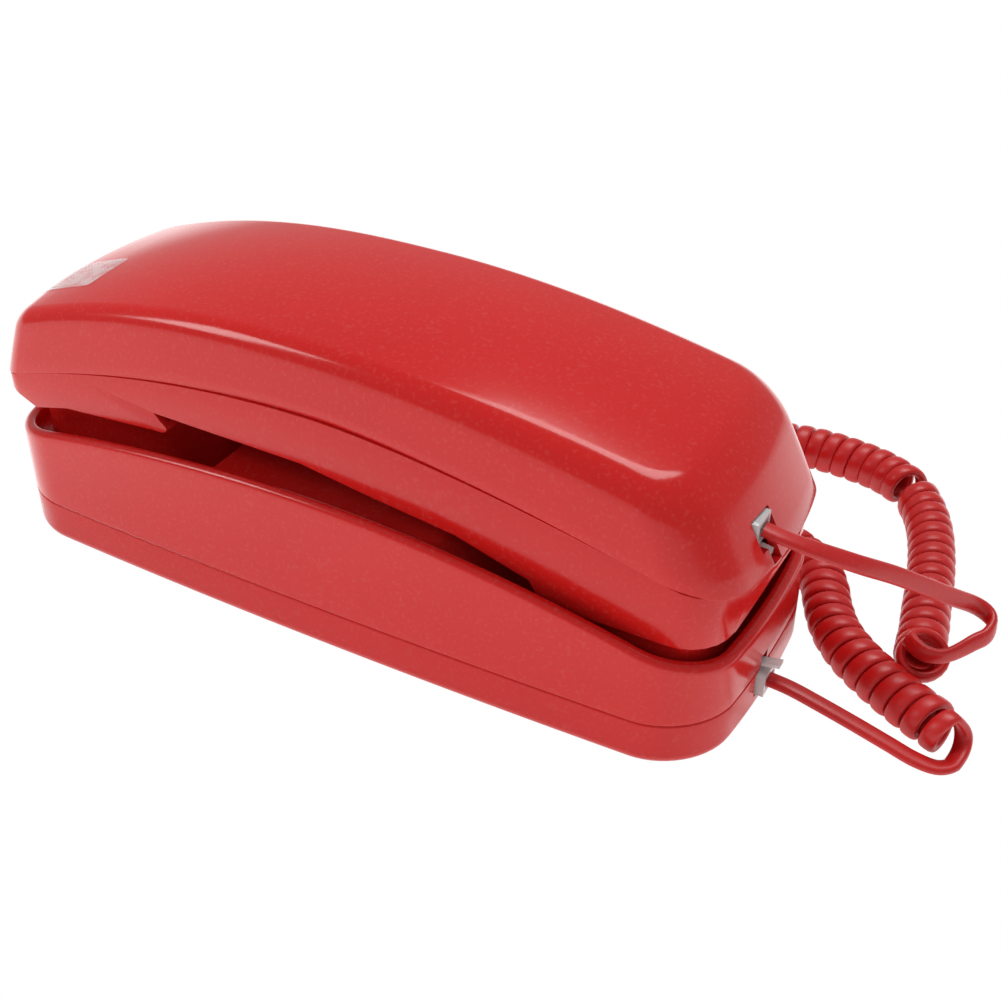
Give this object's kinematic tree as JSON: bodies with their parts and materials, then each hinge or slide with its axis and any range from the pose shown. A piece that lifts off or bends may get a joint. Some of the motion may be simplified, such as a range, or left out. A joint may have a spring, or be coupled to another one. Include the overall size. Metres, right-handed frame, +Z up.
{
  "type": "slimline wall phone",
  "caption": "Slimline telephone with its keypad in the handset, resting face down on a cradle base, joined by a curly cord.",
  "frame": {"origin": "centre of the phone in plan, on the desk under its rubber feet (cord left out)", "axes": "+X from the ear end to the mouth end, where the cord leaves; +Y across; +Z up from the desk"},
  "size_m": [0.2726, 0.1525, 0.087],
  "materials": {
    "red_housing": "glossy moulded red, faint speckle",
    "red_trim": "moulded red, slightly duller",
    "black_rubber": "matt",
    "grey_rubber": "matt silicone",
    "screw_steel": "zinc plated",
    "spring_steel": "drawn wire",
    "circuit_board": "green solder mask",
    "black_plastic": "fine moulded grain",
    "jack_plastic": "moulded, dull",
    "capsule_metal": "pressed can",
    "card_paper": "uncoated card",
    "clear_plastic": "clear polycarbonate",
    "clear_film": "thin clear film",
    "clear_plug": "clear polycarbonate",
    "gold_contact": "gold plated",
    "ballast_iron": "bare pressed iron",
    "key_plastic": "off white, satin",
    "cord_vinyl": "soft red vinyl, satin sheen"
  },
  "bodies": {
    "base": {"base_lower_housing": "red_housing", "base_upper_housing": "red_housing", "rubber_feet": "black_rubber", "base_screws": "screw_steel", "main_circuit_board": "circuit_board", "hook_switch": "black_plastic", "ringer_sounder": "black_plastic", "line_jack": "jack_plastic", "base_handset_jack": "jack_plastic", "hanger_tab": "red_trim", "base_plug": "clear_plug", "base_plug_contacts": "gold_contact", "coiled_cord": "cord_vinyl", "base_lead": "cord_vinyl"},
    "plunger": {"hook_plunger": "red_trim", "hook_spring": "spring_steel"},
    "ringer_knob": {"ringer_switch_knob": "black_plastic"},
    "handset": {"handset_back_shell": "red_housing", "handset_face_shell": "red_housing", "receiver_capsule": "capsule_metal", "receiver_gasket": "grey_rubber", "microphone_capsule": "capsule_metal", "microphone_boot": "black_rubber", "keypad_bezel": "black_plastic", "key_mat": "grey_rubber", "keypad_board": "circuit_board", "number_card": "card_paper", "card_window": "clear_plastic", "handset_jack": "jack_plastic", "ballast_weight": "ballast_iron", "handset_screws": "screw_steel", "label_film": "clear_film", "handset_plug": "clear_plug", "handset_plug_contacts": "gold_contact", "handset_lead": "cord_vinyl"},
    "volume_knob": {"volume_slider": "black_plastic"},
    "b_key_1": {"key_1": "key_plastic"},
    "b_key_2": {"key_2": "key_plastic"},
    "b_key_3": {"key_3": "key_plastic"},
    "b_key_4": {"key_4": "key_plastic"},
    "b_key_5": {"key_5": "key_plastic"},
    "b_key_6": {"key_6": "key_plastic"},
    "b_key_7": {"key_7": "key_plastic"},
    "b_key_8": {"key_8": "key_plastic"},
    "b_key_9": {"key_9": "key_plastic"},
    "b_key_star": {"key_star": "key_plastic"},
    "b_key_0": {"key_0": "key_plastic"},
    "b_key_pound": {"key_pound": "key_plastic"},
    "b_key_flash": {"key_flash": "key_plastic"},
    "b_key_redial": {"key_redial": "key_plastic"},
    "b_key_mute": {"key_mute": "key_plastic"}
  },
  "joints": [
    {"name": "handset_lift", "type": "slide", "parent": "base", "child": "handset", "axis": [0, 0, 1], "range_m": [0, 0.06]},
    {"name": "hook_press", "type": "slide", "parent": "base", "child": "plunger", "axis": [0, 0, 1], "range_m": [0, 0.005], "stiffness_N_per_m": 60, "deforming": ["hook_spring"]},
    {"name": "ringer_slide", "type": "slide", "parent": "base", "child": "ringer_knob", "axis": [1, 0, 0], "range_m": [-0.003, 0.003]},
    {"name": "volume_slide", "type": "slide", "parent": "handset", "child": "volume_knob", "axis": [1, 0, 0], "range_m": [-0.003, 0.003]},
    {"name": "key_1_press", "type": "slide", "parent": "handset", "child": "b_key_1", "axis": [0, 0, 1], "range_m": [0, 0.0015], "stiffness_N_per_m": 150},
    {"name": "key_2_press", "type": "slide", "parent": "handset", "child": "b_key_2", "axis": [0, 0, 1], "range_m": [0, 0.0015], "stiffness_N_per_m": 150},
    {"name": "key_3_press", "type": "slide", "parent": "handset", "child": "b_key_3", "axis": [0, 0, 1], "range_m": [0, 0.0015], "stiffness_N_per_m": 150},
    {"name": "key_4_press", "type": "slide", "parent": "handset", "child": "b_key_4", "axis": [0, 0, 1], "range_m": [0, 0.0015], "stiffness_N_per_m": 150},
    {"name": "key_5_press", "type": "slide", "parent": "handset", "child": "b_key_5", "axis": [0, 0, 1], "range_m": [0, 0.0015], "stiffness_N_per_m": 150},
    {"name": "key_6_press", "type": "slide", "parent": "handset", "child": "b_key_6", "axis": [0, 0, 1], "range_m": [0, 0.0015], "stiffness_N_per_m": 150},
    {"name": "key_7_press", "type": "slide", "parent": "handset", "child": "b_key_7", "axis": [0, 0, 1], "range_m": [0, 0.0015], "stiffness_N_per_m": 150},
    {"name": "key_8_press", "type": "slide", "parent": "handset", "child": "b_key_8", "axis": [0, 0, 1], "range_m": [0, 0.0015], "stiffness_N_per_m": 150},
    {"name": "key_9_press", "type": "slide", "parent": "handset", "child": "b_key_9", "axis": [0, 0, 1], "range_m": [0, 0.0015], "stiffness_N_per_m": 150},
    {"name": "key_star_press", "type": "slide", "parent": "handset", "child": "b_key_star", "axis": [0, 0, 1], "range_m": [0, 0.0015], "stiffness_N_per_m": 150},
    {"name": "key_0_press", "type": "slide", "parent": "handset", "child": "b_key_0", "axis": [0, 0, 1], "range_m": [0, 0.0015], "stiffness_N_per_m": 150},
    {"name": "key_pound_press", "type": "slide", "parent": "handset", "child": "b_key_pound", "axis": [0, 0, 1], "range_m": [0, 0.0015], "stiffness_N_per_m": 150},
    {"name": "key_flash_press", "type": "slide", "parent": "handset", "child": "b_key_flash", "axis": [0, 0, 1], "range_m": [0, 0.0015], "stiffness_N_per_m": 150},
    {"name": "key_redial_press", "type": "slide", "parent": "handset", "child": "b_key_redial", "axis": [0, 0, 1], "range_m": [0, 0.0015], "stiffness_N_per_m": 150},
    {"name": "key_mute_press", "type": "slide", "parent": "handset", "child": "b_key_mute", "axis": [0, 0, 1], "range_m": [0, 0.0015], "stiffness_N_per_m": 150}
  ],
  "couplings": [
    {"joint": "hook_press", "follows": "handset_lift", "ratio": 0.083333}
  ]
}
